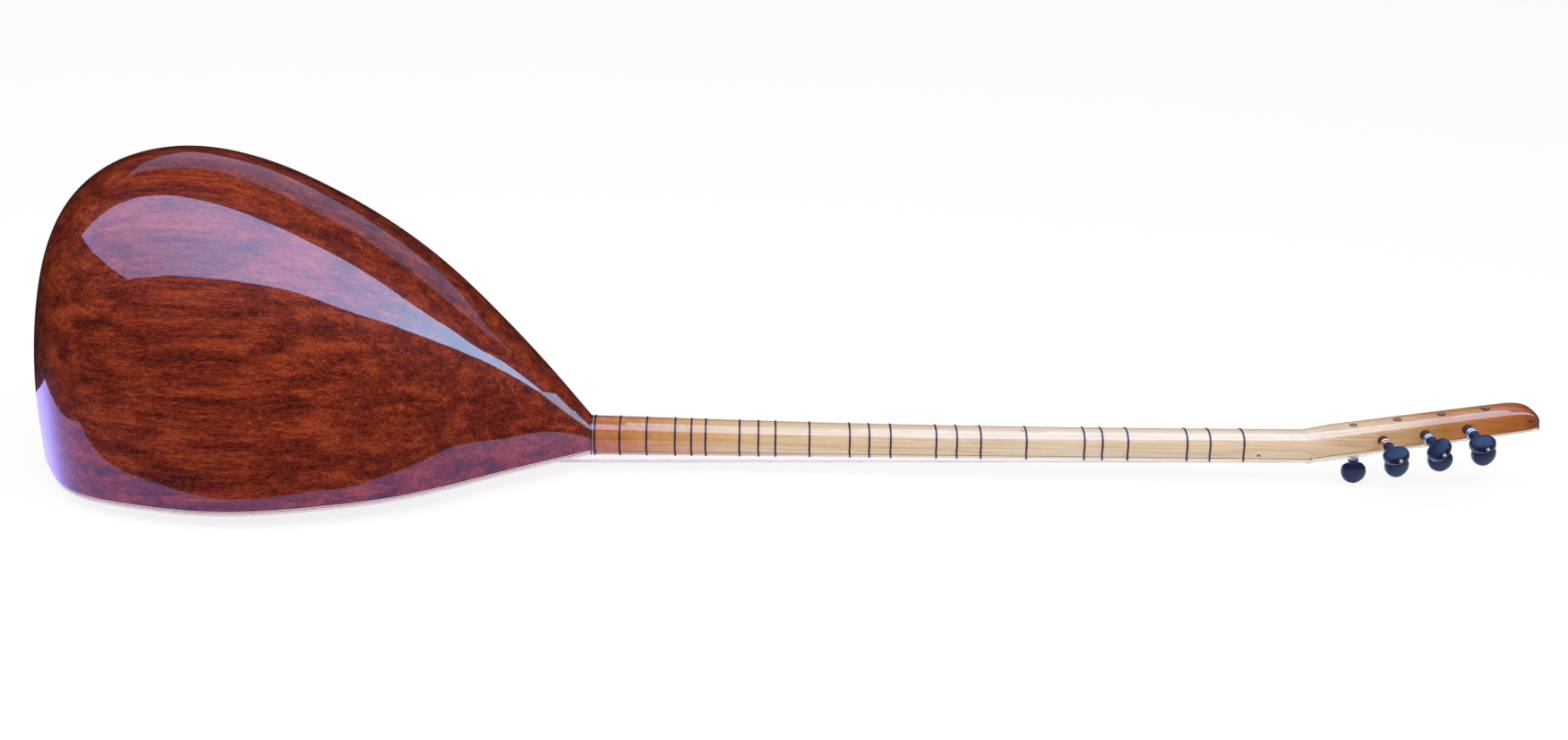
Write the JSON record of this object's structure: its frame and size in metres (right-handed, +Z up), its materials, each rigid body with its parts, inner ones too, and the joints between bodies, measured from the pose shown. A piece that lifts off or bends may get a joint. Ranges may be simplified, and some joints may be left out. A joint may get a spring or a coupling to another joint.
{
  "type": "divan_saz",
  "caption": "Divan saz: large long-necked lute with a deep carved pear-shaped bowl, tied nylon frets, a bent-back head and turning friction pegs, lying face down.",
  "frame": {"origin": "Centre of the bottom of the bounding box, on the surface that the instrument lies on, face down.", "axes": "+Z is up, away from the soundboard. +X runs from the bowl's tail to the tip of the head. +Y is the treble side, and the side pegs point to -Y."},
  "size_m": [1.3546, 0.29, 0.2811],
  "materials": {
    "mahogany_bowl": "gloss lacquer",
    "neck_maple": "gloss lacquer",
    "fingerboard_maple": "gloss lacquer",
    "soundboard_spruce": "satin lacquer",
    "wing_wood": "satin lacquer",
    "rim_cream": "gloss",
    "dark_veneer": "gloss lacquer",
    "peg_ebony": "satin",
    "fret_nylon": "smooth",
    "nut_bone": "polished",
    "string_steel": "plain",
    "string_copper": "wound",
    "pip_pearl": "gloss"
  },
  "bodies": {
    "instrument": {"bowl": "mahogany_bowl", "soundboard_centre": "soundboard_spruce", "soundboard_bass_wing": "wing_wood", "soundboard_treble_wing": "wing_wood", "rim_binding": "rim_cream", "soundboard_brace": "soundboard_spruce", "neck": "neck_maple", "joint_ring": "dark_veneer", "fretboard": "fingerboard_maple", "headstock": "neck_maple", "headplate": "fingerboard_maple", "veneer_line": "dark_veneer", "head_end_cap": "peg_ebony", "nut": "nut_bone", "bridge": "neck_maple", "tailpiece": "peg_ebony", "fret_1": "fret_nylon", "fret_2": "fret_nylon", "fret_3": "fret_nylon", "fret_4": "fret_nylon", "fret_5": "fret_nylon", "fret_6": "fret_nylon", "fret_7": "fret_nylon", "fret_8": "fret_nylon", "fret_9": "fret_nylon", "fret_10": "fret_nylon", "fret_11": "fret_nylon", "fret_12": "fret_nylon", "fret_13": "fret_nylon", "fret_14": "fret_nylon", "fret_15": "fret_nylon", "fret_16": "fret_nylon", "fret_17": "fret_nylon", "fret_18": "fret_nylon", "fret_19": "fret_nylon", "fret_20": "fret_nylon", "fret_21": "fret_nylon", "fret_22": "fret_nylon", "fret_23": "fret_nylon", "string_1": "string_copper", "string_2": "string_steel", "string_3": "string_steel", "string_4": "string_steel", "string_5": "string_steel", "string_6": "string_steel", "string_7": "string_copper"},
    "front_peg_1_body": {"front_peg_1": "peg_ebony", "front_peg_1_pip": "pip_pearl"},
    "front_peg_2_body": {"front_peg_2": "peg_ebony", "front_peg_2_pip": "pip_pearl"},
    "front_peg_3_body": {"front_peg_3": "peg_ebony", "front_peg_3_pip": "pip_pearl"},
    "front_peg_4_body": {"front_peg_4": "peg_ebony", "front_peg_4_pip": "pip_pearl"},
    "side_peg_1_body": {"side_peg_1": "peg_ebony", "side_peg_1_pip": "pip_pearl"},
    "side_peg_2_body": {"side_peg_2": "peg_ebony", "side_peg_2_pip": "pip_pearl"},
    "side_peg_3_body": {"side_peg_3": "peg_ebony", "side_peg_3_pip": "pip_pearl"}
  },
  "joints": [
    {"name": "front_peg_1_turn", "type": "hinge", "parent": "instrument", "child": "front_peg_1_body", "pos_m": [0.51189, 0, 0.03477], "axis": [0.1732, 0, -0.9849], "continuous": true},
    {"name": "front_peg_2_turn", "type": "hinge", "parent": "instrument", "child": "front_peg_2_body", "pos_m": [0.55168, 0, 0.04177], "axis": [0.1732, 0, -0.9849], "continuous": true},
    {"name": "front_peg_3_turn", "type": "hinge", "parent": "instrument", "child": "front_peg_3_body", "pos_m": [0.59147, 0, 0.04876], "axis": [0.1732, 0, -0.9849], "continuous": true},
    {"name": "front_peg_4_turn", "type": "hinge", "parent": "instrument", "child": "front_peg_4_body", "pos_m": [0.63126, 0, 0.05576], "axis": [0.1732, 0, -0.9849], "continuous": true},
    {"name": "side_peg_1_turn", "type": "hinge", "parent": "instrument", "child": "side_peg_1_body", "pos_m": [0.53143, -0.01426, 0.05008], "axis": [0, -1, 0], "continuous": true},
    {"name": "side_peg_2_turn", "type": "hinge", "parent": "instrument", "child": "side_peg_2_body", "pos_m": [0.56955, -0.01412, 0.05679], "axis": [0, -1, 0], "continuous": true},
    {"name": "side_peg_3_turn", "type": "hinge", "parent": "instrument", "child": "side_peg_3_body", "pos_m": [0.60766, -0.01399, 0.06349], "axis": [0, -1, 0], "continuous": true}
  ]
}
